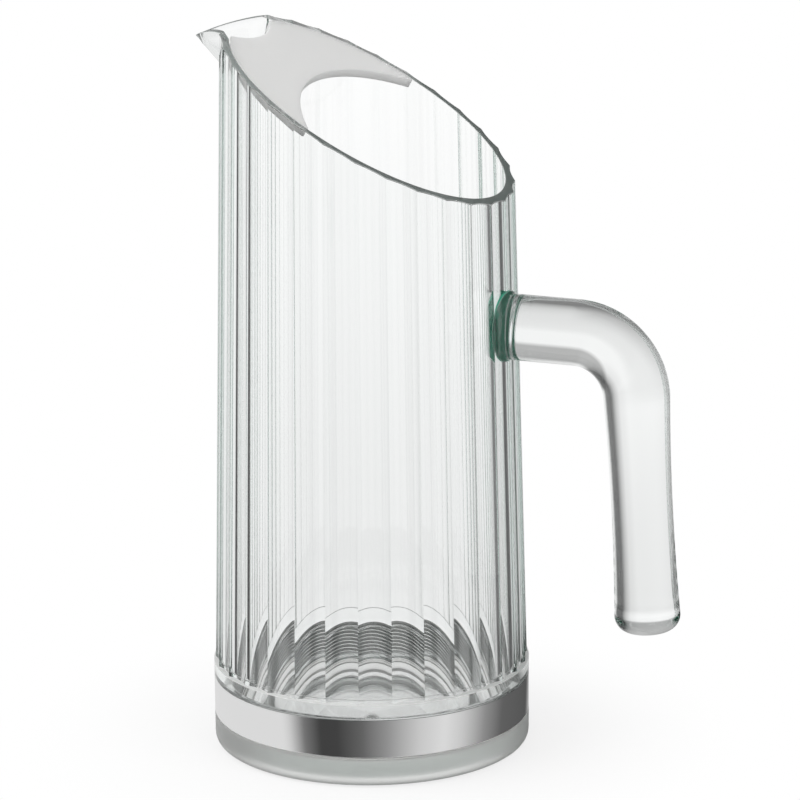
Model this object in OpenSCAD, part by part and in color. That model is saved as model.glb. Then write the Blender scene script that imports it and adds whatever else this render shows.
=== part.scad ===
// Fluted pitcher with a slanted mouth, a pouring beak, a free-hanging handle, an ice guard and a screwed base.
// Millimetres. Z is the jug's axis, z = 0 is the surface it stands on, +X points to the handle.

/* [Foot] */
// Outside radius shared by the collar, the band and the base
foot_r = 50; // [46:0.5:56]
// Height of the base below the band
base_h = 9.6; // [9:0.2:14]
// Height of the metal band
band_h = 12.2; // [10:0.2:16]
// Thickness of the metal band
band_t = 1; // [0.6:0.1:1.4]
// Rounding of the band's outer edges
band_ease = 0.3; // [0.1:0.05:0.4]
// Height of the smooth collar above the band
collar_h = 7; // [5:0.5:10]
// Rounding of the collar's upper edge
collar_round = 0.5; // [0.3:0.05:0.55]
// Rounding of the base's lower edge
foot_round = 3; // [1:0.5:4]

/* [Jug wall] */
// How far the rib tips stand inside the collar's face
rib_step = 0.6; // [0.3:0.1:1.5]
// Wall thickness from the bore to a rib tip
wall = 3; // [3:0.1:4]
// Draft of the wall, in degrees: the jug narrows upwards
draft = 1.37; // [0.5:0.1:2]
// Number of flutes round the jug
flute_count = 30; // [24:2:36]
// Radius of the hollow of one flute
flute_r = 20; // [14:0.5:30]
// Height of the mouth's plane on the jug's axis
mouth_z = 203.8; // [190:1:230]
// Slant of the mouth's plane, in degrees
mouth_tilt = 29.6; // [20:0.2:34]

/* [Beak] */
// How far the beak's point stands out from the rib tips
beak_reach = 12.9; // [9:0.1:15]
// Height of the beak's point above the mouth's centre
beak_rise = 18.9; // [17:0.1:20]
// Half angle of the beak's cone, in degrees
beak_angle = 45.6; // [42:0.2:48]
// Upward lean of the beak's cone towards the jug, in degrees
beak_lean = 6.8; // [5:0.2:9]
// Wall thickness of the beak
beak_wall = 2.2; // [1.8:0.1:2.6]
// Half of the angle that the beak takes out of the rim, in degrees
beak_span = 23.6; // [21:0.2:26]
// Radius of the lip's arch from the rim to the point
lip_arch_r = 42.5; // [36:0.5:60]
// How far the lip's arch passes below the cone's point, which blunts it
point_blunt = 0.4; // [0.2:0.1:0.8]

/* [Handle] */
// Height of the arm's centre line
arm_z = 138.2; // [120:1:150]
// Diameter of the arm and of the grip's upper end
arm_d = 20.4; // [18:0.2:23]
// How much thicker the bend is than the arm and the grip that run into it, on the diameter
bend_swell = 0.1; // [0.08:0.02:0.4]
// Thickness of the pad between the rib tips and the arm
pad_t = 4.1; // [3:0.1:6]
// How much wider than the arm the pad is at the rib tips, on the radius
pad_flare = 0.8; // [0.2:0.1:1.2]
// Distance from the jug's axis to the grip's centre line below the bend
grip_x = 88.4; // [86:0.2:96]
// Radius of the bend's centre line
bend_r = 19.5; // [16:0.5:22]
// Outward lean of the grip, in degrees
grip_lean = 3.3; // [0:0.1:5]
// Narrowing of the grip at its waist, on the diameter
grip_waist = 1.6; // [0.4:0.2:2.4]
// Height of the grip's free end
grip_end_z = 45.6; // [40:0.2:60]
// Rounding of the grip's free end
grip_round = 5; // [2:0.5:8]

/* [Screwed base] */
// Thickness of the jug's floor
floor_t = 5.8; // [4.5:0.1:6.5]
// Height of the upright wall above the base's flange
plug_h = 11.9; // [11:0.1:15]
// Thickness of the upright wall
plug_wall = 2.3; // [1.8:0.1:3]
// Clearance between the upright wall and the skirt, taken up by the thread
screw_gap = 0.3; // [0.25:0.05:0.4]
// Step from the jug's bore to the wider skirt
skirt_step = 0.3; // [0.2:0.1:0.5]
// Height of the skirt's inside above the upright wall
skirt_room = 0.6; // [0.4:0.1:1.5]
// Rounding between the floor and the upright wall
floor_round = 2; // [1:0.5:3]
// Width of the ring that the base stands on
foot_ring_w = 6; // [4:0.5:9]
// Depth of the hollow inside that ring
foot_hollow = 1.2; // [0.6:0.1:2]

/* [Seal] */
// Width of the seal's section
seal_w = 1.4; // [1:0.1:1.6]
// Height of the seal's section
seal_h = 1.6; // [1.2:0.1:2]
// How far the seal stands out of its groove
seal_proud = 0.3; // [0.2:0.05:0.4]
// Clearance of the seal in its groove, each side
seal_gap = 0.15; // [0.1:0.05:0.25]

/* [Ice guard] */
// Thickness of the guard's plate
guard_t = 3; // [2:0.1:4]
// Clearance between the guard and the jug's bore
guard_gap = 0.25; // [0.2:0.05:0.4]
// Radius of the scoop on the handle's side
scoop_r = 60; // [55:0.5:80]
// Distance from the mouth's centre to the scoop's edge, along the plate
scoop_back = 18; // [10:0.5:26]
// Radius of the pour gap's edge at the beak
pour_r = 26; // [20:0.5:34]
// Distance from the mouth's centre to the pour gap's edge, along the plate
pour_back = 40.2; // [36:0.1:42]

/* [Hidden] */
$fn = 96;

// Clearance of parts that are bonded or clamped face to face on curved faces
bond_gap = 0.1;
// Length past a face by which a cutting shape runs
over = 1;
// Side of a block that takes away all that lies above the mouth
block = 400;

band_z = base_h;
collar_z = band_z + band_h;
flute_z = collar_z + collar_h;
rib_r = foot_r - rib_step;
arm_r = arm_d / 2;
flute_half = 180 / flute_count;

// Radius over the rib tips, and of the bore, at a height
function rib_at(z) = rib_r - (z - flute_z) * tan(draft);
function bore_at(z) = rib_at(z) - wall;
// Distance from the jug's axis to a flute's centre whose edges meet at rib radius r
function flute_at(r) = r * cos(flute_half) + sqrt(pow(flute_r, 2) - pow(r * sin(flute_half), 2));

floor_z = foot_hollow + floor_t;
plug_z = base_h + plug_h;
top_z = mouth_z + (rib_r + beak_reach) * tan(mouth_tilt);
skirt_top_z = plug_z + skirt_room;
skirt_bore_r = bore_at(skirt_top_z) + skirt_step;
skirt_r = foot_r - band_t - bond_gap;
skirt_z = base_h + seal_proud;
plug_r = skirt_bore_r - screw_gap;
cup_r = plug_r - plug_wall;
pad_x = rib_at(arm_z) + pad_t;
seal_r = (skirt_bore_r + skirt_r - seal_w) / 2;
groove_z = base_h + seal_proud - seal_h;

point_z = mouth_z + beak_rise;
point_x = -(rib_at(point_z) + beak_reach);
root_x = -(bore_at(point_z) - wall);
crest_x = -rib_at(point_z) * cos(beak_span);
crest_z = mouth_z - crest_x * tan(mouth_tilt);

module at_mouth() {
    translate([0, 0, mouth_z]) rotate([0, mouth_tilt, 0]) children();
}

// Half plane of a revolved section: a rectangle from r0 to r1 and z0 to z1
module section(r0, r1, z0, z1) {
    translate([r0, z0]) square([r1 - r0, z1 - z0]);
}

// Tapered tube of flutes, cut only from outside, with a rib in line with the handle and one with the beak
module fluted_tube() {
    c0 = flute_at(rib_at(collar_z));
    c1 = flute_at(rib_at(top_z));
    rise = top_z - collar_z;
    lean = atan((c0 - c1) / rise);
    difference() {
        translate([0, 0, collar_z]) cylinder(h = rise, r1 = rib_at(collar_z), r2 = rib_at(top_z));
        for (i = [0 : flute_count - 1])
            rotate((i + 1 / 2) * 360 / flute_count)
                translate([c0, 0, collar_z])
                    rotate([0, -lean, 0])
                        translate([0, 0, -over]) cylinder(h = rise / cos(lean) + 2 * over, r = flute_r);
    }
}

// Smooth collar with a ledge where the flutes end, and the skirt below it that carries the band
module collar_and_skirt() {
    rotate_extrude() {
        section(bore_at(flute_z), foot_r, collar_z, flute_z - collar_round);
        section(bore_at(flute_z), foot_r - collar_round, collar_z, flute_z);
        translate([foot_r - collar_round, flute_z - collar_round]) circle(collar_round);
        section(skirt_bore_r, skirt_r, skirt_z, collar_z);
    }
}

// Cone with its point at the beak's tip, moved back along its axis and reaching to x = to_x
module beak_cone(back, to_x) {
    reach = (to_x - point_x) / cos(beak_lean) - back;
    translate([point_x, 0, point_z])
        rotate([0, 90 - beak_lean, 0])
            translate([0, 0, back]) cylinder(h = reach, r1 = 0, r2 = reach * tan(beak_angle));
}

// All above the lip's arch, which runs from the rim down to the beak's point
module above_lip() {
    tip_z = point_z - point_blunt;
    half = [(crest_x - point_x) / 2, (crest_z - tip_z) / 2];
    drop = sqrt(pow(lip_arch_r, 2) - pow(norm(half), 2)) / norm(half);
    arch_x = (crest_x + point_x) / 2 + half[1] * drop;
    arch_z = (crest_z + tip_z) / 2 - half[0] * drop;
    difference() {
        translate([crest_x - block, -block / 2, tip_z - over]) cube([block, block, block]);
        translate([arch_x, block, arch_z]) rotate([90, 0, 0]) cylinder(h = 2 * block, r = lip_arch_r, $fn = 240);
    }
}

// Round pad on the wall, flared towards the jug, that the handle is bonded to
module handle_pad() {
    pad_l = pad_t + 2 * wall;
    root_r = arm_r + pad_flare * pad_l / pad_t;
    translate([pad_x - pad_l, 0, arm_z]) rotate([0, 90, 0]) cylinder(h = pad_l, r1 = root_r, r2 = arm_r);
}

module jug_body() {
    color("#e6f0ec")
        difference() {
            union() {
                fluted_tube();
                collar_and_skirt();
                beak_cone(0, root_x);
                handle_pad();
            }
            translate([0, 0, skirt_top_z])
                cylinder(h = top_z - skirt_top_z + over, r1 = bore_at(skirt_top_z), r2 = bore_at(top_z + over));
            translate([0, 0, skirt_z - over]) cylinder(h = skirt_top_z - skirt_z + over, r = skirt_bore_r);
            beak_cone(beak_wall / sin(beak_angle), root_x + wall + beak_wall);
            at_mouth() translate([-block / 2, -block / 2, 0]) cube(block);
            above_lip();
        }
}

// Straight arm, bend and waisted grip with a rounded free end. Arm and grip run a little way into the bend
module handle() {
    bend_x = grip_x - bend_r * cos(grip_lean);
    grip_top = [grip_x, 0, arm_z - bend_r + bend_r * sin(grip_lean)];
    grip_l = (grip_top[2] - grip_end_z) / cos(grip_lean);
    waist_l = grip_l - grip_round;
    waist_in = grip_waist / 2;
    waist_r = (pow(waist_l / 2, 2) + pow(waist_in, 2)) / (2 * waist_in);
    color("#f2f5f4") union() {
        translate([pad_x, 0, arm_z]) rotate([0, 90, 0]) cylinder(h = bend_x - pad_x + over, r = arm_r);
        translate([bend_x, 0, arm_z - bend_r])
            rotate([90, 0, 0])
                rotate(grip_lean)
                    rotate_extrude(angle = 90 - grip_lean) translate([bend_r, 0]) circle(arm_r + bend_swell / 2);
        translate(grip_top)
            rotate([0, 180 - grip_lean, 0])
                rotate_extrude() {
                    difference() {
                        section(0, arm_r, -over, waist_l);
                        translate([arm_r - waist_in + waist_r, waist_l / 2]) circle(waist_r, $fn = 720);
                    }
                    section(0, arm_r - grip_round, waist_l - over, grip_l);
                    intersection() {
                        translate([arm_r - grip_round, waist_l]) circle(grip_round);
                        section(0, arm_r, waist_l, grip_l);
                    }
                }
    }
}

// Metal ring round the skirt, flush with collar and base, with eased edges
module steel_band() {
    z0 = band_z + bond_gap;
    r0 = foot_r - band_t;
    color("#c9ccce")
        rotate_extrude() {
            section(r0, foot_r - band_ease, z0, collar_z);
            section(r0, foot_r, z0 + band_ease, collar_z - band_ease);
            for (z = [z0 + band_ease, collar_z - band_ease])
                translate([foot_r - band_ease, z]) circle(band_ease);
        }
}

// Foot with the jug's floor, the upright wall that screws into the skirt, and the seal's groove
module screw_base() {
    ring_r = foot_r - foot_round - foot_ring_w;
    color("#dfe6e3")
        rotate_extrude()
            difference() {
                union() {
                    section(0, foot_r - foot_round, 0, base_h);
                    section(0, foot_r, foot_round, base_h);
                    translate([foot_r - foot_round, foot_round]) circle(foot_round);
                    section(0, plug_r, floor_z, plug_z);
                }
                section(0, cup_r - floor_round, floor_z, plug_z + over);
                section(0, cup_r, floor_z + floor_round, plug_z + over);
                translate([cup_r - floor_round, floor_z + floor_round]) circle(floor_round);
                section(0, ring_r, -over, foot_hollow);
                section(seal_r - seal_gap, seal_r + seal_w + seal_gap, groove_z, base_h + over);
            }
}

module base_seal() {
    color("#d8dcda") rotate_extrude() section(seal_r, seal_r + seal_w, groove_z, groove_z + seal_h);
}

// Plate flush with the mouth, cut out by the scoop and by the pour gap
module ice_guard() {
    low_z = mouth_z - foot_r;
    color("#d2d4d2")
        intersection() {
            translate([0, 0, low_z])
                cylinder(h = top_z - low_z, r1 = bore_at(low_z) - guard_gap, r2 = bore_at(top_z) - guard_gap);
            at_mouth()
                difference() {
                    translate([-block / 2, -block / 2, -guard_t]) cube([block, block, guard_t]);
                    translate([scoop_r - scoop_back, 0, -guard_t - over])
                        cylinder(h = guard_t + 2 * over, r = scoop_r, $fn = 180);
                    translate([-pour_back - pour_r, 0, -guard_t - over])
                        cylinder(h = guard_t + 2 * over, r = pour_r);
                }
        }
}

jug_body();
handle();
steel_band();
screw_base();
base_seal();
ice_guard();
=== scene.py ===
"""Looks of a clear fluted pitcher: slanted mouth, beak, bar handle, ice guard, band and screwed base."""
import math

import bpy
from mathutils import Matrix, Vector


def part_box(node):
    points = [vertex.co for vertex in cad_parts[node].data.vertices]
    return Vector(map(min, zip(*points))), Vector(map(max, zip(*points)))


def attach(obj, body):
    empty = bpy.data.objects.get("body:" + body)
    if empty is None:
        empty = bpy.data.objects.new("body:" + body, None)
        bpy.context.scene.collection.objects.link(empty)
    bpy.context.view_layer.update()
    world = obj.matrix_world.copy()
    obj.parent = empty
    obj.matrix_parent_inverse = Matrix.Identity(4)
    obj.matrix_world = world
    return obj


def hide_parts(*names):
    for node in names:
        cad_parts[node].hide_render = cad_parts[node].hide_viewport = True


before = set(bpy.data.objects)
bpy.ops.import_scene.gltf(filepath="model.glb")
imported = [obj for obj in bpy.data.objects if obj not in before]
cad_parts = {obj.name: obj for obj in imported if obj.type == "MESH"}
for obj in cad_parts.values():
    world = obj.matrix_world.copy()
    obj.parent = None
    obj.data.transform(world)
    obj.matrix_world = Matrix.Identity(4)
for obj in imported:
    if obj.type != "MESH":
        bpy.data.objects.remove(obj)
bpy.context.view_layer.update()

# Sizes of the pitcher: lengths in metres, creases in degrees
MM = 0.001
HAIR = 0.01 * MM
CREASE = 35
RIB_CREASE = 30

# Foot and band
FOOT_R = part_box("screw_base")[1].x
FOOT_ROUND = 3.0 * MM
FOOT_RING = 6.0 * MM
FOOT_HOLLOW = 1.2 * MM
RING_EASE = 0.6 * MM
HOLLOW_EASE = 0.4 * MM
BASE_H = 9.6 * MM
BASE_EASE = 0.3 * MM
BAND_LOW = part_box("steel_band")[0].z
BAND_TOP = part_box("steel_band")[1].z
BAND_T = 1.0 * MM
BAND_EASE = 0.3 * MM
BAND_BACK_EASE = 0.1 * MM
BOND_GAP = 0.1 * MM

# Collar and fluted wall
COLLAR_H = 7.0 * MM
COLLAR_EASE = 0.3 * MM
LEDGE_H = 4.9 * MM
LEDGE_SLOPE = math.radians(12.5)
LEDGE_ROUND = 0.03 * MM
RIB_STEP = 0.6 * MM
WALL = 3.0 * MM
DRAFT = math.radians(1.37)
FLUTES = 30
FLUTE_R = 20.0 * MM
FLUTE_STEPS = 10
MOUTH_Z = 203.8 * MM
MOUTH_TILT = math.radians(29.6)
RIM_ROUND = 0.45 * MM
WALL_ROWS = 24

# Beak
BEAK_REACH = 12.9 * MM
BEAK_RISE = 18.9 * MM
BEAK_ANGLE = math.radians(45.6)
BEAK_LEAN = math.radians(6.8)
BEAK_WALL = 2.2 * MM
BEAK_SPAN = math.radians(23.6)
BEAK_ROWS = 9
LIP_ARCH_R = 42.5 * MM
POINT_BLUNT = 0.4 * MM

# Handle
ARM_Z = 138.2 * MM
ARM_R = 10.2 * MM
PAD_T = 4.1 * MM
PAD_FLARE = 0.8 * MM
FLARE_L = 1.6 * MM
ROOT_SINK = 1.3 * MM
GRIP_X = 88.4 * MM
BEND_R = 19.5 * MM
GRIP_LEAN = math.radians(3.3)
GRIP_WAIST = 0.8 * MM
GRIP_END_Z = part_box("handle")[0].z
GRIP_ROUND = 5.0 * MM
BAR_SIDES = 96
ROOT_ROWS = 17
BEND_ROWS = 48
GRIP_ROWS = 33
END_ROWS = 13

# Screwed base, skirt and seal
FLOOR_Z = 7.0 * MM
FLOOR_ROUND = 0.7 * MM
PLUG_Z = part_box("screw_base")[1].z
PLUG_WALL = 2.3 * MM
PLUG_EASE = 0.35 * MM
CUP_EASE = 0.6 * MM
SCREW_GAP = 0.3 * MM
SKIRT_STEP = 0.3 * MM
SKIRT_ROOM = 0.6 * MM
SKIRT_EASE = 0.2 * MM
SEAL_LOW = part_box("base_seal")[0].z
SEAL_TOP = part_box("base_seal")[1].z
SEAL_W = 1.4 * MM
SEAL_GAP = 0.15 * MM
SEAL_EASE = 0.25 * MM
GROOVE_EASE = 0.15 * MM
GROOVE_ROUND = 0.1 * MM
ROUND_STEPS = 288

# Thread
THREAD_STEP = 1.2 * MM
THREAD_STARTS = 4
THREAD_DEPTH = 0.15 * MM
THREAD_PROUD = 0.2 * MM
THREAD_CREST = 0.45
THREAD_LOW = 11.2 * MM
THREAD_STOP = 0.5 * MM
THREAD_TOP = PLUG_Z - THREAD_STOP
THREAD_FADE = 0.9 * MM
THREAD_ROWS = 132

# Ice guard
GUARD_T = 3.0 * MM
GUARD_GAP = 0.25 * MM
GUARD_EASE = 0.35 * MM
EASE_ROWS = 5
SCOOP_R = 60.0 * MM
SCOOP_BACK = 18.0 * MM
SCOOP_STEPS = 80
POUR_R = 26.0 * MM
POUR_BACK = 40.2 * MM
POUR_STEPS = 24
RIM_STEPS = 90
HORN_ROUND = 1.2 * MM
POUR_ROUND = 1.0 * MM

# Worked out from the sizes above. The ribs have their radius at FLUTE_Z, and the ledge lies a little lower
COLLAR_Z = BAND_TOP
FLUTE_Z = COLLAR_Z + COLLAR_H
LEDGE_Z = COLLAR_Z + LEDGE_H
RIB_R = FOOT_R - RIB_STEP
FLUTE_HALF = math.pi / FLUTES
POINT_Z = MOUTH_Z + BEAK_RISE


def rib_at(z):
    """Radius over the rib tips at a height."""
    return RIB_R - (z - FLUTE_Z) * math.tan(DRAFT)


def bore_at(z):
    """Radius of the jug's bore at a height."""
    return rib_at(z) - WALL


def flute_centre(z):
    """Distance from the axis to the centres of the flutes at a height."""
    rib = rib_at(z)
    return rib * math.cos(FLUTE_HALF) + math.sqrt(FLUTE_R ** 2 - (rib * math.sin(FLUTE_HALF)) ** 2)


SKIRT_TOP = PLUG_Z + SKIRT_ROOM
SKIRT_BORE = bore_at(SKIRT_TOP) + SKIRT_STEP
SKIRT_R = FOOT_R - BAND_T - BOND_GAP
SKIRT_Z = SEAL_TOP
PLUG_R = SKIRT_BORE - SCREW_GAP
CUP_R = PLUG_R - PLUG_WALL
SEAL_R = (SKIRT_BORE + SKIRT_R - SEAL_W) / 2
PAD_X = rib_at(ARM_Z) + PAD_T
ROOT_X = rib_at(ARM_Z) - ROOT_SINK
POINT_X = -(rib_at(POINT_Z) + BEAK_REACH)
CREST_X = -rib_at(POINT_Z) * math.cos(BEAK_SPAN)
CREST_Z = MOUTH_Z - CREST_X * math.tan(MOUTH_TILT)


# Working by hand in edit mode

def start_fresh():
    """Leaves edit mode and deselects everything."""
    if bpy.context.object and bpy.context.object.mode != "OBJECT":
        bpy.ops.object.mode_set(mode="OBJECT")
    bpy.ops.object.select_all(action="DESELECT")


def pick(piece):
    """Makes a piece the only one that is selected."""
    start_fresh()
    piece.select_set(True)
    bpy.context.view_layer.objects.active = piece


def smooth(piece, crease=CREASE):
    """Shades a piece smooth, with creases past an angle in degrees."""
    pick(piece)
    bpy.ops.object.shade_smooth_by_angle(angle=math.radians(crease))


def close_up(piece, merge=1e-6):
    """Welds doubled points, drops loose ones and turns all faces outwards."""
    pick(piece)
    bpy.ops.object.mode_set(mode="EDIT")
    bpy.ops.mesh.select_all(action="SELECT")
    bpy.ops.mesh.remove_doubles(threshold=merge)
    bpy.ops.mesh.delete_loose(use_verts=True, use_edges=True, use_faces=False)
    bpy.ops.mesh.select_all(action="SELECT")
    bpy.ops.mesh.normals_make_consistent(inside=False)
    bpy.ops.object.mode_set(mode="OBJECT")


def skin(name, columns, ring=True, crease=CREASE):
    """A grid wrapped over columns of points round the axis. With ring, each column closes on itself."""
    count, rows = len(columns), len(columns[0])
    start_fresh()
    bpy.ops.mesh.primitive_grid_add(x_subdivisions=count, y_subdivisions=rows if ring else rows - 1, size=1)
    piece = bpy.context.object
    piece.name = piece.data.name = name
    for index, vertex in enumerate(piece.data.vertices):
        row, column = divmod(index, count + 1)
        vertex.co = columns[column % count][row % rows]
    close_up(piece)
    smooth(piece, crease)
    return piece


def cap(piece, test):
    """Fills the open end whose points pass a test."""
    pick(piece)
    bpy.ops.object.mode_set(mode="EDIT")
    bpy.ops.mesh.select_mode(type="VERT")
    bpy.ops.mesh.select_all(action="DESELECT")
    bpy.ops.object.mode_set(mode="OBJECT")
    for vertex in piece.data.vertices:
        vertex.select = test(vertex.co)
    bpy.ops.object.mode_set(mode="EDIT")
    bpy.ops.mesh.edge_face_add()
    bpy.ops.object.mode_set(mode="OBJECT")


def draw_out(step, centre, scale):
    """Draws the selected ring of edges out by a step and scales it about its new centre."""
    bpy.ops.mesh.extrude_region_move(TRANSFORM_OT_translate={"value": step})
    bpy.ops.transform.resize(value=(scale, scale, scale), center_override=centre)


def modify(piece, kind, **settings):
    """Adds a modifier and applies it at once."""
    pick(piece)
    modifier = piece.modifiers.new(kind.lower(), kind)
    for key, value in settings.items():
        setattr(modifier, key, value)
    bpy.ops.object.modifier_apply(modifier=modifier.name)


# Sections and curves

def spread(low, high, count):
    """Evenly spread values from low to high, both ends included."""
    return [low + (high - low) * i / (count - 1) for i in range(count)]


def angles_round(count):
    """Angles evenly spread once round the axis."""
    return [2 * math.pi * i / count for i in range(count)]


def turn(r, z, angle):
    """A point at radius r and height z, turned round the axis."""
    return Vector((r * math.cos(angle), r * math.sin(angle), z))


def eased(before, corner, after, ease, steps=4):
    """Points of a small rounding at a corner between its two neighbours."""
    start = corner + (before - corner).normalized() * ease
    end = corner + (after - corner).normalized() * ease
    return [start * (1 - t) ** 2 + corner * 2 * t * (1 - t) + end * t ** 2 for t in spread(0, 1, steps + 1)]


def rounded(corners, steps=4):
    """A line through corners of (radius from axis, height, rounding), with the corners rounded."""
    line = []
    for i, (r, z, ease) in enumerate(corners):
        here = Vector((r, z))
        if ease == 0:
            line.append(here)
            continue
        before = Vector(corners[i - 1][:2])
        after = Vector(corners[(i + 1) % len(corners)][:2])
        line += eased(before, here, after, ease, steps)
    return line


def solve(test, low, high, halvings=48):
    """The place between low and high where test changes from below to above zero."""
    for _ in range(halvings):
        middle = (low + high) / 2
        low, high = (low, middle) if test(middle) > 0 else (middle, high)
    return (low + high) / 2


def thread_wave(angle, z):
    """Height of the base's thread, from 0 in its groove to 1 on its flat crest, running out at both ends."""
    turns = z / THREAD_STEP - angle * THREAD_STARTS / (2 * math.pi)
    wave = min(1, abs(2 * (turns % 1) - 1) / (1 - THREAD_CREST))
    fade = min(1, (z - THREAD_LOW) / THREAD_FADE, (THREAD_TOP - z) / THREAD_FADE)
    return wave * max(0, fade)


def thread_line(angle, smallest, heights):
    """A threaded face at one angle, from its smallest radius."""
    depth = THREAD_DEPTH + THREAD_PROUD
    return [Vector((smallest + depth * thread_wave(angle, z), z)) for z in heights]


THREAD_HEIGHTS = spread(THREAD_LOW, THREAD_TOP, THREAD_ROWS)


# Jug

def flute_at(angle, z):
    """Radius of the fluted face at an angle and a height."""
    off = angle % (2 * FLUTE_HALF) - FLUTE_HALF
    centre = flute_centre(z)
    return centre * math.cos(off) - math.sqrt(FLUTE_R ** 2 - (centre * math.sin(off)) ** 2)


def cone_at(angle, z, back):
    """Radius of the beak's cone, moved back along its axis, at an angle and a height, or 0 beside it."""
    along_x, along_z = math.cos(BEAK_LEAN), math.sin(BEAK_LEAN)
    tip_x, tip_z = POINT_X + back * along_x, POINT_Z + back * along_z
    share = math.cos(BEAK_ANGLE) ** 2
    rise = z - tip_z
    # A level ray from the axis meets the cone where square * r ** 2 + 2 * half * r + rest is nought
    a = math.cos(angle) * along_x
    b = rise * along_z - tip_x * along_x
    square = a * a - share
    half = a * b + share * tip_x * math.cos(angle)
    rest = b * b - share * (tip_x ** 2 + rise ** 2)
    if a >= 0 or square <= 0 or rest <= 0:
        return 0
    inside = half * half - square * rest
    return (-half - math.sqrt(inside)) / square if inside > 0 else 0


def arch_centre():
    """Middle of the arch that runs from the rim down to the beak's point, seen from the side."""
    crest, tip = Vector((CREST_X, CREST_Z)), Vector((POINT_X, POINT_Z - POINT_BLUNT))
    half = (crest - tip) / 2
    drop = math.sqrt(LIP_ARCH_R ** 2 - half.length_squared) / half.length
    return (crest + tip) / 2 + Vector((half.y, -half.x)) * drop


ARCH = arch_centre()


def lip_top(x):
    """Height of the mouth's edge at x: the slanted plane, or the arch over the beak."""
    plane = MOUTH_Z - x * math.tan(MOUTH_TILT)
    if x >= CREST_X:
        return plane
    return min(plane, ARCH.y + math.sqrt(max(0, LIP_ARCH_R ** 2 - (x - ARCH.x) ** 2)))


def wall_rows(angle, wall_at, cone_back, low):
    """Points up one face of the jug's wall from a height to the lip, with a row on the crease of the beak."""
    def radius(z):
        return max(wall_at(angle, z), cone_at(angle, z, cone_back))

    high = MOUTH_Z + 2 * FOOT_R
    top = solve(lambda z: z - lip_top(radius(z) * math.cos(angle)), MOUTH_Z - FOOT_R, high)
    crease = top
    if cone_at(angle, top, cone_back) > wall_at(angle, top):
        crease = solve(lambda z: cone_at(angle, z, cone_back) - wall_at(angle, z), top - FOOT_R, top)
    crease = min(crease, top - 2 * RIM_ROUND)
    heights = spread(low, crease, WALL_ROWS) + spread(crease, top, BEAK_ROWS)[1:]
    return [turn(radius(z), z, angle) for z in heights]


def jug_column(angle):
    """All points round the section of the jug's wall at one angle: up the outside and down the bore."""
    foot = flute_at(angle, LEDGE_Z)
    ledge_top = LEDGE_Z + (FOOT_R - foot) * math.tan(LEDGE_SLOPE)
    skirt = rounded([
        (SKIRT_BORE, SKIRT_Z, SKIRT_EASE), (SKIRT_R, SKIRT_Z, SKIRT_EASE),
        (SKIRT_R, COLLAR_Z, BAND_BACK_EASE), (FOOT_R, COLLAR_Z, COLLAR_EASE),
        (FOOT_R, LEDGE_Z, LEDGE_ROUND), (foot, ledge_top, 0),
    ], steps=5)[:-1]
    outside = wall_rows(angle, flute_at, 0, ledge_top)
    inside = wall_rows(angle, lambda _, z: bore_at(z), BEAK_WALL / math.sin(BEAK_ANGLE), SKIRT_TOP)
    step = [Vector((SKIRT_BORE, SKIRT_TOP))]
    thread = thread_line(angle, SKIRT_BORE - THREAD_PROUD, reversed(THREAD_HEIGHTS))
    points = [turn(p.x, p.y, angle) for p in skirt]
    points += outside[:-2]
    points += eased(outside[-2], outside[-1], inside[-1], RIM_ROUND)
    points += eased(outside[-1], inside[-1], inside[-2], RIM_ROUND)
    points += inside[-3::-1]
    points += [turn(p.x, p.y, angle) for p in step + thread]
    return points


def make_jug():
    """The fluted wall in one skin, with its ribs left crisp."""
    columns = [jug_column(angle) for angle in angles_round(FLUTE_STEPS * FLUTES)]
    return skin("jug", columns, crease=RIB_CREASE)


# Handle

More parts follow.
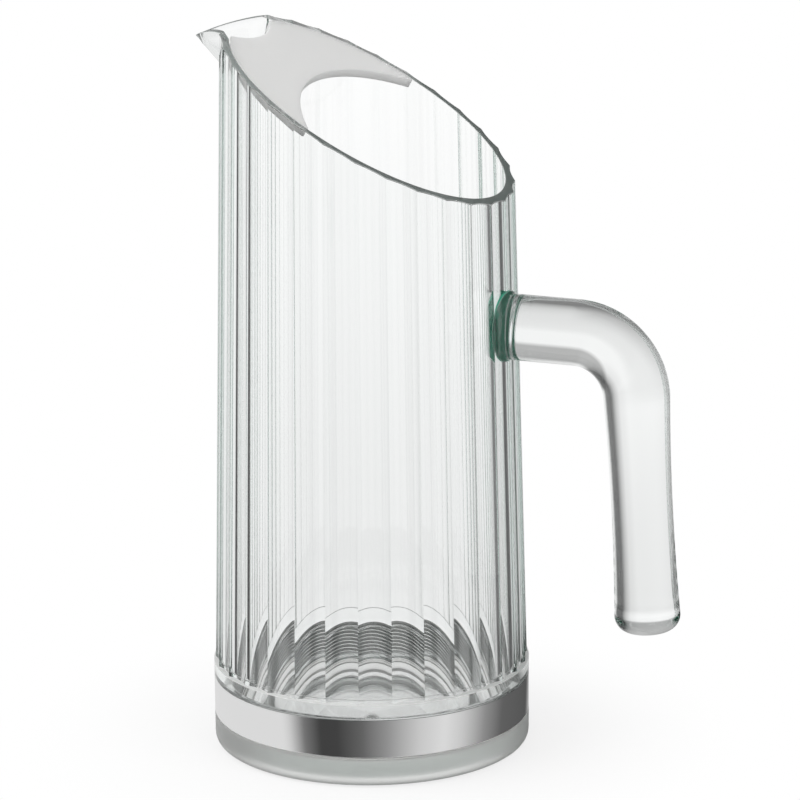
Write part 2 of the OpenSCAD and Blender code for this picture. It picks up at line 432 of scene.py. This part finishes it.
def make_handle():
    """A ring of edges drawn out of the wall along the arm, spun round the bend and drawn down the grip."""
    bend_x = GRIP_X - BEND_R * math.cos(GRIP_LEAN)
    bend_centre = Vector((bend_x, 0, ARM_Z - BEND_R))
    down = Vector((math.sin(GRIP_LEAN), 0, -math.cos(GRIP_LEAN)))
    grip_top = bend_centre + BEND_R * Vector((math.cos(GRIP_LEAN), 0, math.sin(GRIP_LEAN)))
    # The edge of the leaning end hangs this far below its middle
    end_dip = ARM_R * math.sin(GRIP_LEAN) / 2
    grip_l = (grip_top.z - GRIP_END_Z - end_dip) / math.cos(GRIP_LEAN)
    waist_l = grip_l - GRIP_ROUND
    root = []
    for x in spread(ROOT_X, PAD_X, ROOT_ROWS):
        share = 1 - (x - rib_at(ARM_Z)) / FLARE_L
        root.append((x, ARM_R + PAD_FLARE * max(0, min(1, share)) ** 2))
    grip = [(waist_l * t, ARM_R - GRIP_WAIST * (1 - (2 * t - 1) ** 2)) for t in spread(0, 1, GRIP_ROWS)]
    for turned in spread(0, math.pi / 2, END_ROWS)[1:]:
        reach = waist_l + GRIP_ROUND * math.sin(turned)
        grip.append((reach, ARM_R - GRIP_ROUND + GRIP_ROUND * math.cos(turned)))
    start_fresh()
    bpy.ops.mesh.primitive_circle_add(
        vertices=BAR_SIDES, radius=root[0][1], fill_type="NOTHING",
        location=(ROOT_X, 0, ARM_Z), rotation=(0, math.pi / 2, 0))
    piece = bpy.context.object
    piece.name = piece.data.name = "bar_handle"
    bpy.ops.object.transform_apply(location=True, rotation=True, scale=True)
    bpy.ops.object.mode_set(mode="EDIT")
    bpy.ops.mesh.select_all(action="SELECT")
    for (x, radius), (next_x, next_radius) in zip(root, root[1:]):
        draw_out((next_x - x, 0, 0), (next_x, 0, ARM_Z), next_radius / radius)
    bpy.ops.mesh.extrude_region_move(TRANSFORM_OT_translate={"value": (bend_x - PAD_X, 0, 0)})
    bpy.ops.mesh.spin(steps=BEND_ROWS, angle=math.pi / 2 - GRIP_LEAN, center=bend_centre, axis=(0, -1, 0))
    for (reach, radius), (next_reach, next_radius) in zip(grip, grip[1:]):
        draw_out(down * (next_reach - reach), grip_top + down * next_reach, next_radius / radius)
    bpy.ops.mesh.edge_face_add()
    bpy.ops.object.mode_set(mode="OBJECT")
    cap(piece, lambda point: point.x < ROOT_X + HAIR)
    close_up(piece)
    smooth(piece)
    return piece


# Foot

def make_ring(name, line):
    """The same closed section at every angle round the axis."""
    return skin(name, [[turn(p.x, p.y, angle) for p in line] for angle in angles_round(ROUND_STEPS)])


def make_band():
    """A flat ring with eased edges, flush with the foot and the collar."""
    inner = FOOT_R - BAND_T
    return make_ring("polished_band", rounded([
        (inner, BAND_LOW, BAND_BACK_EASE), (FOOT_R, BAND_LOW, BAND_EASE),
        (FOOT_R, BAND_TOP, BAND_EASE), (inner, BAND_TOP, BAND_BACK_EASE),
    ], steps=5))


def make_base():
    """Foot, flange with the seal's groove, upright wall with the thread, and the jug's floor."""
    ring_r = FOOT_R - FOOT_ROUND - FOOT_RING
    groove_in, groove_out = SEAL_R - SEAL_GAP, SEAL_R + SEAL_W + SEAL_GAP
    outside = rounded([
        (0, FOOT_HOLLOW, 0), (ring_r, FOOT_HOLLOW, HOLLOW_EASE), (ring_r, 0, RING_EASE),
        (FOOT_R, 0, FOOT_ROUND), (FOOT_R, BASE_H, BASE_EASE),
        (groove_out, BASE_H, GROOVE_EASE), (groove_out, SEAL_LOW, GROOVE_ROUND),
        (groove_in, SEAL_LOW, GROOVE_ROUND), (groove_in, BASE_H, GROOVE_EASE), (PLUG_R, BASE_H, 0),
    ], steps=6)
    inside = rounded([
        (PLUG_R, THREAD_TOP, 0), (PLUG_R, PLUG_Z, PLUG_EASE), (CUP_R, PLUG_Z, CUP_EASE),
        (CUP_R, FLOOR_Z, FLOOR_ROUND), (0, FLOOR_Z, 0),
    ], steps=6)
    columns = []
    for angle in angles_round(ROUND_STEPS):
        thread = thread_line(angle, PLUG_R - THREAD_DEPTH, THREAD_HEIGHTS[1:-1])
        columns.append([turn(p.x, p.y, angle) for p in outside + thread + inside])
    return skin("threaded_base", columns, ring=False)


def make_seal():
    """A flat ring with eased edges, between the skirt's lower edge and the groove's floor."""
    outer = SEAL_R + SEAL_W
    return make_ring("flat_seal", rounded([
        (SEAL_R, SEAL_LOW, SEAL_EASE), (outer, SEAL_LOW, SEAL_EASE),
        (outer, SEAL_TOP, SEAL_EASE), (SEAL_R, SEAL_TOP, SEAL_EASE),
    ]))


# Ice guard

def plate_point(along, across, up):
    """A point on the mouth's plane: along the slope away from the beak, across, and up from the plane."""
    cos, sin = math.cos(MOUTH_TILT), math.sin(MOUTH_TILT)
    return Vector((along * cos + up * sin, across, MOUTH_Z - along * sin + up * cos))


PLATE_MIDDLE = plate_point(0, 0, 0)
PLATE_UP = plate_point(0, 0, 1) - PLATE_MIDDLE


def below_mouth(point):
    """Depth of a point below the mouth's plane."""
    return (PLATE_MIDDLE - point).dot(PLATE_UP)


def rim_point(azimuth, depth):
    """A point of the guard's edge beside the bore, along and across the plate, at a depth below the mouth."""
    cos, sin, tan = math.cos(MOUTH_TILT), math.sin(MOUTH_TILT), math.tan(MOUTH_TILT)
    level = bore_at(MOUTH_Z - depth / cos) - GUARD_GAP
    radius = level / (1 - math.cos(azimuth) * tan * math.tan(DRAFT))
    return Vector(((radius * math.cos(azimuth) + depth * sin) / cos, radius * math.sin(azimuth)))


def scoop_point(turned):
    """A point of the scoop towards the handle, turned from its middle, along and across the plate."""
    return Vector((SCOOP_R - SCOOP_BACK - SCOOP_R * math.cos(turned), SCOOP_R * math.sin(turned)))


def pour_point(turned):
    """A point of the pour gap's edge, turned from its middle, along and across the plate."""
    return Vector((POUR_R * math.cos(turned) - POUR_R - POUR_BACK, POUR_R * math.sin(turned)))


def corner_round(start, corner, end, steps=8):
    """Points of a round arc between start and end, without those two."""
    weight = math.sin((start - corner).angle(end - corner) / 2)
    line = []
    for t in spread(0, 1, steps + 1)[1:-1]:
        a, b, c = (1 - t) ** 2, 2 * weight * t * (1 - t), t ** 2
        line.append((start * a + corner * b + end * c) / (a + b + c))
    return line


def bore_crossing(curve, depth):
    """How far along a curve of the guard's outline it meets the bore, at a depth below the mouth's plane."""
    def outside(turned):
        point = curve(turned)
        spot = plate_point(point.x, point.y, -depth)
        return math.hypot(spot.x, spot.y) - bore_at(spot.z) + GUARD_GAP

    return solve(outside, 0, math.pi / 2)


def guard_outline(depth):
    """The guard's outline at a depth below the mouth's plane, along and across the plate, corners rounded."""
    def azimuth(point):
        spot = plate_point(point.x, point.y, -depth)
        return math.atan2(spot.y, spot.x)

    horn = bore_crossing(scoop_point, depth)
    corner = bore_crossing(pour_point, depth)
    rim_from = azimuth(pour_point(corner)) - POUR_ROUND / bore_at(MOUTH_Z)
    rim_to = azimuth(scoop_point(horn)) + HORN_ROUND / bore_at(MOUTH_Z)
    pour = [pour_point(turned) for turned in spread(0, corner - POUR_ROUND / POUR_R, POUR_STEPS)]
    rim = [rim_point(angle, depth) for angle in spread(rim_from, rim_to, RIM_STEPS)]
    scoop = [scoop_point(turned) for turned in spread(horn - HORN_ROUND / SCOOP_R, 0, SCOOP_STEPS)]
    half = pour + corner_round(pour[-1], pour_point(corner), rim[0]) + rim
    half += corner_round(rim[-1], scoop_point(horn), scoop[0]) + scoop
    return half + [Vector((point.x, -point.y)) for point in half[-2:0:-1]]


def make_guard():
    """A plate flush with the mouth and fitted to the bore, between scoop and pour gap, with eased edges."""
    upper = []
    for turned in spread(0, math.pi / 2, EASE_ROWS):
        upper.append((GUARD_EASE * (1 - math.sin(turned)), GUARD_EASE * (1 - math.cos(turned))))
    lower = [(inset, GUARD_T - depth) for inset, depth in reversed(upper)]
    rows = []
    for inset, depth in upper + lower:
        outline = guard_outline(depth)
        row = []
        for i, point in enumerate(outline):
            ahead = (outline[(i + 1) % len(outline)] - outline[i - 1]).normalized()
            inner = point + Vector((ahead.y, -ahead.x)) * inset
            row.append(plate_point(inner.x, inner.y, -depth))
        rows.append(row)
    piece = skin("frosted_guard", list(zip(*rows)), ring=False)
    cap(piece, lambda point: below_mouth(point) < HAIR)
    cap(piece, lambda point: below_mouth(point) > GUARD_T - HAIR)
    close_up(piece)
    smooth(piece)
    modify(piece, "WEIGHTED_NORMAL", keep_sharp=True)
    return piece


# Nodes that the finishes and the studio share

def feed(tree, socket, value):
    """Sets a socket to a number or a colour, or links another socket to it."""
    if isinstance(value, bpy.types.NodeSocket):
        tree.links.new(value, socket)
    elif isinstance(value, tuple):
        socket.default_value = (*value, 1)
    else:
        socket.default_value = value


def node_math(tree, operation, *values):
    """A Math node fed with numbers or sockets."""
    node = tree.nodes.new("ShaderNodeMath")
    node.operation = operation
    for socket, value in zip(node.inputs, values):
        feed(tree, socket, value)
    return node.outputs["Value"]


def product(tree, share, *others):
    """Several shares multiplied."""
    for other in others:
        share = node_math(tree, "MULTIPLY", share, other)
    return share


def mixed(tree, share, plain, other, blend="MIX"):
    """A colour that goes from plain to another with a share, or is multiplied by it as the share says."""
    node = tree.nodes.new("ShaderNodeMix")
    node.data_type = "RGBA"
    node.blend_type = blend
    feed(tree, node.inputs["Factor"], share)
    feed(tree, node.inputs["A"], plain)
    feed(tree, node.inputs["B"], other)
    return node.outputs["Result"]


def between(tree, value, low, high):
    """Rises softly from 0 to 1 as a value goes from low to high."""
    node = tree.nodes.new("ShaderNodeMapRange")
    node.interpolation_type = "SMOOTHSTEP"
    node.inputs["From Min"].default_value = low
    node.inputs["From Max"].default_value = high
    tree.links.new(value, node.inputs["Value"])
    return node.outputs["Result"]


def ramp(tree, value, stops):
    """A grey ramp through (place, brightness) stops."""
    node = tree.nodes.new("ShaderNodeValToRGB")
    band = node.color_ramp
    while len(band.elements) < len(stops):
        band.elements.new(0.5)
    for element, (place, _) in zip(band.elements, stops):
        element.position = place
    for element, (_, grey) in zip(band.elements, stops):
        element.color = (grey, grey, grey, 1)
    tree.links.new(value, node.inputs["Fac"])
    return node.outputs["Color"]


def own_place(tree):
    """The point's place on the piece itself."""
    return tree.nodes.new("ShaderNodeTexCoord").outputs["Object"]


def along(tree, direction):
    """How far the point lies along a direction from the middle of the jug's foot."""
    dot = tree.nodes.new("ShaderNodeVectorMath")
    dot.operation = "DOT_PRODUCT"
    dot.inputs[1].default_value = direction
    tree.links.new(own_place(tree), dot.inputs[0])
    return dot.outputs["Value"]


def height(tree):
    """How high the point lies."""
    return along(tree, (0, 0, 1))


def away_from(tree, direction, middle, across, other):
    """Distance from an axis, from its place along two directions square to it."""
    a = node_math(tree, "SUBTRACT", along(tree, direction), middle)
    b = node_math(tree, "SUBTRACT", along(tree, across), other)
    square = node_math(tree, "MULTIPLY_ADD", a, a, product(tree, b, b))
    return node_math(tree, "SQRT", square)


def from_axis(tree):
    """How far the point lies from the jug's axis."""
    return away_from(tree, (1, 0, 0), 0, (0, 1, 0), 0)


def grain(tree, scale, detail, low, high):
    """Soft noise on the piece's own place, as values from low to high."""
    noise = tree.nodes.new("ShaderNodeTexNoise")
    noise.inputs["Scale"].default_value = scale
    noise.inputs["Detail"].default_value = detail
    tree.links.new(own_place(tree), noise.inputs["Vector"])
    levels = tree.nodes.new("ShaderNodeMapRange")
    levels.inputs["To Min"].default_value = low
    levels.inputs["To Max"].default_value = high
    tree.links.new(noise.outputs["Fac"], levels.inputs["Value"])
    return levels.outputs["Result"]


# Where the finishes change: how far from a face or an edge they start, and are full
CUT_START = 0.3 * MM
CUT_FULL = 0.12 * MM
HORN_X = scoop_point(bore_crossing(scoop_point, 0)).x * math.cos(MOUTH_TILT)
HORN_BEFORE = 4 * MM
HORN_PAST = 2 * MM
CREST_FADE = 0.1 * MM
POINT_START = 2 * MM
POINT_FULL = 1 * MM
BOND_START = 0.1 * MM
BOND_FULL = 0.3 * MM
LEDGE_START = 0.12 * MM
LEDGE_FULL = 0.05 * MM
SIDE_START = 3.2 * MM
SIDE_FULL = 2.6 * MM
EDGE_FULL = 0.5 * MM
GATE_R = 3.4 * MM
GATE_START = 0.4 * MM
GATE_FULL = 0.1 * MM
BACK_START = 0.4 * BAND_T
BACK_FULL = 0.6 * BAND_T
# The band's inside keeps a bright strip by its lower edge, as painted light that brightens the wall's root
# seen through
BRIGHT_STRIP = 2.0 * MM
STRIP_FADE = 0.8 * MM
# How much of the lip's painted dark reflection is left beside the guard
GUARD_RIM = 0.4


def lip_dark_paint(tree):
    """1 on the cut face of the mouth and on the beak's lip, where dark reflections are painted on in grey,
    GUARD_RIM beside the guard, 0 elsewhere.
    """
    level = PLATE_MIDDLE.dot(PLATE_UP)
    plane = between(tree, along(tree, PLATE_UP), level - CUT_START, level - CUT_FULL)
    bare = between(tree, along(tree, (1, 0, 0)), HORN_X - HORN_BEFORE, HORN_X + HORN_PAST)
    bare = node_math(tree, "MULTIPLY_ADD", bare, 1 - GUARD_RIM, GUARD_RIM)
    reach = away_from(tree, (1, 0, 0), ARCH.x, (0, 0, 1), ARCH.y)
    arch = between(tree, reach, LIP_ARCH_R - CUT_START, LIP_ARCH_R - CUT_FULL)
    left = between(tree, along(tree, (-1, 0, 0)), -CREST_X, CREST_FADE - CREST_X)
    high = between(tree, height(tree), POINT_Z - POINT_START, POINT_Z - POINT_FULL)
    return node_math(tree, "MAXIMUM", product(tree, plane, bare), product(tree, arch, left, high))


def bond_teal_paint(tree):
    """1 on the end that the handle is bonded into the wall with, where painted teal stands in for light
    carried along the green wall; 0 elsewhere.
    """
    return between(tree, from_axis(tree), rib_at(ARM_Z) + BOND_START, rib_at(ARM_Z) - BOND_FULL)


def ledge_face(tree):
    """1 on the ledge that the flutes end on, 0 elsewhere."""
    slope = math.tan(LEDGE_SLOPE)
    level = node_math(tree, "MULTIPLY_ADD", from_axis(tree), slope, height(tree))
    face = LEDGE_Z + FOOT_R * slope
    above = between(tree, level, face - LEDGE_START, face - LEDGE_FULL)
    below = between(tree, level, face + LEDGE_START, face + LEDGE_FULL)
    return product(tree, above, below)


def foot_side(tree):
    """1 on the foot's side, 0 on the floor, the underside and the upright wall."""
    return between(tree, from_axis(tree), FOOT_R - SIDE_START, FOOT_R - SIDE_FULL)


def foot_edge_shade(tree):
    """1 on the rounding under the foot's side, where painted shade darkens the edge that faces down; 0
    elsewhere.
    """
    return product(tree, between(tree, height(tree), FOOT_ROUND, EDGE_FULL), foot_side(tree))


def gate_mark(tree):
    """1 on the mark that the moulding left in the middle of the floor, 0 elsewhere."""
    mark = between(tree, from_axis(tree), GATE_R, GATE_R / 2)
    return product(tree, mark, between(tree, height(tree), FLOOR_Z - GATE_START, FLOOR_Z - GATE_FULL))


def band_inside_shade(tree):
    """1 on the inside of the band above a strip by its lower edge, where the steel is rougher and darkened by
    painted shade; 0 on its polished side and on that strip, which stays bright as painted light.
    """
    inside = between(tree, from_axis(tree), FOOT_R - BACK_START, FOOT_R - BACK_FULL)
    strip_top = BAND_LOW + BRIGHT_STRIP
    return product(tree, inside, between(tree, height(tree), strip_top - STRIP_FADE, strip_top))


# Finishes

CLEAR = (1, 1, 1)
BODY_TINT = (0.55, 0.78, 0.70)
HANDLE_TINT = (0.84, 0.89, 0.87)
BASE_TINT = (0.80, 0.86, 0.84)
# Painted reflection: the lip's dark grey stands in for the darkness the lip shows by reflection
LIP_PAINTED_DARK = (0.14, 0.16, 0.153)
LEDGE_MILK = (0.96, 0.97, 0.96)
# Painted light: the teal of light carried a long way through the green wall, put on the bonded end as an
# opaque colour
BOND_PAINTED_TEAL = (0.06, 0.44, 0.29)
FOOT_MILK = (0.97, 0.97, 0.955)
# Painted shade on the foot's lower rounding, which faces down, away from the light
FOOT_EDGE_PAINTED_SHADE = (0.47, 0.475, 0.465)
GATE_GREY = (0.5, 0.5, 0.49)
BRIGHT_STEEL = (0.95, 0.95, 0.95)
# Painted shade: the band's inside is darkened far below bright steel, so that the thread zone seen through
# the wall looks darker
BAND_INSIDE_PAINTED_SHADE = (0.27, 0.28, 0.27)
FROST_WHITE = (0.88, 0.88, 0.868)
SILICONE_CLEAR = (0.98, 0.98, 0.98)
PLASTIC_IOR = 1.49
RAW_ROUGH = 0.3
FROST_PASSES = 0.2
FROST_GLOW = 0.9
FROST_DEPTH = 5.0 * MM
FROST_BUMP = 0.01 * MM


def new_finish(name, colour):
    """A material in one colour, with its nodes and its Principled shader."""
    finish = bpy.data.materials.new(name)
    finish.use_nodes = True
    shader = finish.node_tree.nodes["Principled BSDF"]
    shader.inputs["Base Color"].default_value = (*colour, 1)
    return finish, finish.node_tree, shader


def clear_plastic(name, tint, density, patches):
    """Polished clear plastic that tints light on a long way through it.

    Each patch is a place, its colour (the plastic's own on some patches, painted light and shade on others),
    the share of light that passes there, and the roughness it adds.
    """
    finish, tree, shader = new_finish(name, CLEAR)
    shader.inputs["IOR"].default_value = PLASTIC_IOR
    colour, passing = CLEAR, 1.0
    haze = grain(tree, scale=90, detail=3.0, low=0.0, high=0.012)
    for place, stain_and_painted_light, clear, rough in patches:
        share = place(tree)
        colour = mixed(tree, share, colour, stain_and_painted_light)
        passing = node_math(tree, "MULTIPLY_ADD", share, clear - 1, passing)
        haze = node_math(tree, "MULTIPLY_ADD", share, rough, haze)
    tree.links.new(colour, shader.inputs["Base Color"])
    tree.links.new(passing, shader.inputs["Transmission Weight"])
    tree.links.new(haze, shader.inputs["Roughness"])
    body = tree.nodes.new("ShaderNodeVolumeAbsorption")
    body.inputs["Color"].default_value = (*tint, 1)
    body.inputs["Density"].default_value = density
    tree.links.new(body.outputs["Volume"], tree.nodes["Material Output"].inputs["Volume"])
    return finish


def body_plastic():
    """The jug's faintly green plastic, with painted dark reflections in grey on its cut lip, and milky on its
    ledge.
    """
    return clear_plastic("clear_body", BODY_TINT, density=12, patches=(
        (lip_dark_paint, LIP_PAINTED_DARK, 0.45, 0.3),
        (ledge_face, LEDGE_MILK, 0.3, 0.4),
    ))


def handle_plastic():
    """The handle's plastic, with painted teal light on its bonded end, standing in for light carried a long
    way through the green wall.
    """
    return clear_plastic("clear_handle", HANDLE_TINT, density=12, patches=(
        (bond_teal_paint, BOND_PAINTED_TEAL, 0.0, 0.4),
    ))


def base_plastic():
    """The base's plastic, milky on the foot's side, with painted shade on its lower edge, and greyer on the
    floor's mark.
    """
    return clear_plastic("clear_base", BASE_TINT, density=16, patches=(
        (foot_side, FOOT_MILK, 0.8, 0.4),
        (foot_edge_shade, FOOT_EDGE_PAINTED_SHADE, 0.6, 0.0),
        (gate_mark, GATE_GREY, 0.6, 0.4),
    ))


def polished_steel():
    """Bright steel outside; rougher inside, and darkened there by painted shade, except a strip by the lower
    edge kept bright as painted light.
    """
    finish, tree, shader = new_finish("polished_steel", BRIGHT_STEEL)
    shader.inputs["Metallic"].default_value = 1.0
    rough_and_shaded = band_inside_shade(tree)
    tree.links.new(mixed(tree, rough_and_shaded, BRIGHT_STEEL, BAND_INSIDE_PAINTED_SHADE), shader.inputs["Base Color"])
    shine = grain(tree, scale=220, detail=4.0, low=0.05, high=0.11)
    tree.links.new(node_math(tree, "MULTIPLY_ADD", rough_and_shaded, RAW_ROUGH, shine), shader.inputs["Roughness"])
    return finish


def frosted_plastic():
    """Milky plastic with a fine rough face."""
    finish, tree, shader = new_finish("frosted_guard", FROST_WHITE)
    shader.inputs["Transmission Weight"].default_value = FROST_PASSES
    shader.inputs["Subsurface Weight"].default_value = FROST_GLOW
    shader.inputs["Subsurface Radius"].default_value = (1, 1, 1)
    shader.inputs["Subsurface Scale"].default_value = FROST_DEPTH
    shader.inputs["IOR"].default_value = PLASTIC_IOR
    tree.links.new(grain(tree, scale=400, detail=3.0, low=0.42, high=0.58), shader.inputs["Roughness"])
    bump = tree.nodes.new("ShaderNodeBump")
    bump.inputs["Strength"].default_value = 1.0
    bump.inputs["Distance"].default_value = FROST_BUMP
    tree.links.new(grain(tree, scale=1800, detail=1.0, low=0.0, high=1.0), bump.inputs["Height"])
    tree.links.new(bump.outputs["Normal"], shader.inputs["Normal"])
    return finish


def silicone():
    """Clear soft silicone."""
    finish, tree, shader = new_finish("silicone", SILICONE_CLEAR)
    shader.inputs["Transmission Weight"].default_value = 1.0
    tree.links.new(grain(tree, scale=300, detail=2.0, low=0.05, high=0.1), shader.inputs["Roughness"])
    return finish


def dress(piece, finish, body, node):
    """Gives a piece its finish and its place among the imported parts."""
    piece.data.materials.clear()
    piece.data.materials.append(finish)
    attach(piece, body)
    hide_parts(node)


dress(make_jug(), body_plastic(), "jug", "jug_body")
dress(make_handle(), handle_plastic(), "jug", "handle")
dress(make_band(), polished_steel(), "jug", "steel_band")
dress(make_base(), base_plastic(), "base_turn", "screw_base")
dress(make_seal(), silicone(), "base_drop", "base_seal")
dress(make_guard(), frosted_plastic(), "guard", "ice_guard")


# Studio and camera

PHOTO_AZIMUTH = math.radians(22.776)
PHOTO_ELEVATION = math.radians(15.033)
PHOTO_ROLL = math.radians(-0.453)
PHOTO_DISTANCE = 1.3
PHOTO_TARGET = Vector((0, 0, 0.110))
PHOTO_AIM = (9.68 * MM, 0.24 * MM)
PHOTO_LENS = 186.94
SENSOR_W = 36
NEAR, FAR = 0.01, 50

# Places go once round the jug, from straight behind it past the camera's left, with the camera at a half
CAMERA_PLACE = 0.5
SHINE_PANELS = (
    (0.0, 0.73), (0.31, 0.73), (0.325, 0.64), (0.36, 0.175), (0.395, 0.051), (0.43, 0.054), (0.48, 0.125),
    (0.53, 0.29), (0.597, 0.60), (0.65, 0.73), (0.69, 0.60), (0.75, 0.27), (0.805, 0.118), (0.93, 0.092),
    (1.0, 0.73),
)
BACK_PANELS = (
    (0.0, 1.0), (0.11, 1.0), (0.145, 0.9), (0.158, 0.03), (0.187, 0.03), (0.205, 1.0),
    (0.335, 1.0), (0.36, 0.3), (0.39, 0.3), (0.415, 1.0),
    (0.585, 1.0), (0.61, 0.3), (0.64, 0.3), (0.665, 1.0),
    (0.80, 1.0), (0.835, 0.12), (0.885, 0.12), (0.905, 0.5), (0.93, 0.85), (0.96, 1.0), (1.0, 1.0),
)
# Heights go from straight down at nought to straight up at one, with the horizon at a half
HEIGHT_PANELS = (
    (0.0, 0.8), (0.3, 0.84), (0.352, 0.88), (0.365, 0.90), (0.388, 0.96), (0.405, 1.0),
    (0.52, 1.0), (0.57, 0.5), (0.78, 0.45), (0.88, 1.0), (1.0, 1.0),
)
# The shade that lies low on the camera's left: how far it counts at each place, and its levels by height
SHADE_SIDE = ((0.0, 0.3), (0.012, 0.6), (0.03, 1.0), (0.2, 1.0), (0.25, 0.0), (0.975, 0.0), (1.0, 0.3))
SHADE_PANELS = ((0.0, 0.18), (0.1, 0.22), (0.17, 0.66), (0.3, 1.0), (1.0, 1.0))
PLAIN_LIGHT = (0.62, 0.62, 0.62)
WHITE = (1, 1, 1)

GROUND_R = 6.0
GROUND_SIDES = 96
GROUND_DROP = 0.2 * MM
GROUND_WHITE = (0.9, 0.9, 0.9)
GROUND_ROUGH = 0.9
SHADOW_NEAR = 0.03
SHADOW_FAR = 0.12
SHADOW_WHITE = 0.7
BOUNCES = 32
SHINE_BOUNCES = 16


def make_world():
    """White for the eye, soft grey for plain surfaces, and studio panels for what shines or refracts."""
    world = bpy.data.worlds.new("studio")
    bpy.context.scene.world = world
    world.use_nodes = True
    tree = world.node_tree
    place = tree.nodes.new("ShaderNodeTexCoord")
    split = tree.nodes.new("ShaderNodeSeparateXYZ")
    tree.links.new(place.outputs["Generated"], split.inputs["Vector"])
    angle = node_math(tree, "ARCTAN2", split.outputs["Y"], split.outputs["X"])
    from_camera = node_math(tree, "ADD", angle, math.pi / 2 - PHOTO_AZIMUTH)
    turns = node_math(tree, "DIVIDE", from_camera, 2 * math.pi)
    round_about = node_math(tree, "FRACT", node_math(tree, "ADD", turns, 1 + CAMERA_PLACE))
    up = node_math(tree, "MULTIPLY_ADD", split.outputs["Z"], 0.5, 0.5)
    shine = ramp(tree, round_about, SHINE_PANELS)
    backdrop = ramp(tree, round_about, BACK_PANELS)
    behind = mixed(tree, 1.0, ramp(tree, up, HEIGHT_PANELS), backdrop, "MULTIPLY")
    shaded_side = ramp(tree, round_about, SHADE_SIDE)
    behind = mixed(tree, shaded_side, behind, ramp(tree, up, SHADE_PANELS), "MULTIPLY")
    path = tree.nodes.new("ShaderNodeLightPath")
    colour = mixed(tree, path.outputs["Is Glossy Ray"], PLAIN_LIGHT, shine)
    colour = mixed(tree, path.outputs["Is Transmission Ray"], colour, behind)
    colour = mixed(tree, path.outputs["Is Camera Ray"], colour, WHITE)
    tree.links.new(colour, tree.nodes["Background"].inputs["Color"])


def make_floor():
    """A pale floor that holds the shadow near the foot and runs out to white."""
    start_fresh()
    bpy.ops.mesh.primitive_circle_add(
        vertices=GROUND_SIDES, radius=GROUND_R, fill_type="NGON", location=(0, 0, -GROUND_DROP))
    floor = bpy.context.object
    floor.name = "floor"
    bpy.ops.object.transform_apply(location=True)
    finish, tree, shader = new_finish("pale_floor", GROUND_WHITE)
    shader.inputs["Roughness"].default_value = GROUND_ROUGH
    white = tree.nodes.new("ShaderNodeEmission")
    away = between(tree, from_axis(tree), SHADOW_NEAR, SHADOW_FAR)
    mix = tree.nodes.new("ShaderNodeMixShader")
    tree.links.new(node_math(tree, "MULTIPLY_ADD", away, 1 - SHADOW_WHITE, SHADOW_WHITE), mix.inputs["Fac"])
    tree.links.new(shader.outputs["BSDF"], mix.inputs[1])
    tree.links.new(white.outputs["Emission"], mix.inputs[2])
    tree.links.new(mix.outputs["Shader"], tree.nodes["Material Output"].inputs["Surface"])
    floor.data.materials.append(finish)
    floor.visible_transmission = False
    floor.visible_glossy = False
    floor.visible_diffuse = False
    floor.visible_shadow = False


def make_lamp(name, place, size, power):
    """A soft square lamp that looks at the jug's middle."""
    lamp = bpy.data.lights.new(name, "AREA")
    lamp.shape = "SQUARE"
    lamp.size = size
    lamp.energy = power
    holder = bpy.data.objects.new(name, lamp)
    holder.location = place
    holder.rotation_euler = (PHOTO_TARGET - Vector(place)).to_track_quat("-Z", "Y").to_euler()
    holder.visible_glossy = False
    holder.visible_transmission = False
    bpy.context.scene.collection.objects.link(holder)


def make_camera():
    """Stands where the photograph was taken from."""
    east, north = math.sin(PHOTO_AZIMUTH), math.cos(PHOTO_AZIMUTH)
    level = math.cos(PHOTO_ELEVATION)
    back = Vector((east * level, -north * level, math.sin(PHOTO_ELEVATION)))
    right = Vector((north, east, 0))
    up = back.cross(right)
    place = PHOTO_TARGET + back * PHOTO_DISTANCE
    aim = PHOTO_TARGET + right * PHOTO_AIM[0] + up * PHOTO_AIM[1]
    lens = bpy.data.cameras.new("photo")
    lens.lens = PHOTO_LENS
    lens.sensor_width = SENSOR_W
    lens.sensor_fit = "HORIZONTAL"
    lens.clip_start = NEAR
    lens.clip_end = FAR
    camera = bpy.data.objects.new("photo", lens)
    bpy.context.scene.collection.objects.link(camera)
    camera.location = place
    camera.rotation_euler = (aim - place).to_track_quat("-Z", "Y").to_euler()
    camera.rotation_euler.rotate_axis("Z", PHOTO_ROLL)
    bpy.context.scene.camera = camera


make_world()
make_floor()
make_lamp("key", place=(-0.9, -0.7, 1.3), size=1.2, power=14)
make_lamp("fill", place=(1.1, -0.5, 0.9), size=1.0, power=6)
make_camera()

scene = bpy.context.scene
scene.view_settings.view_transform = "Standard"
scene.cycles.max_bounces = BOUNCES
scene.cycles.transmission_bounces = BOUNCES
scene.cycles.glossy_bounces = SHINE_BOUNCES
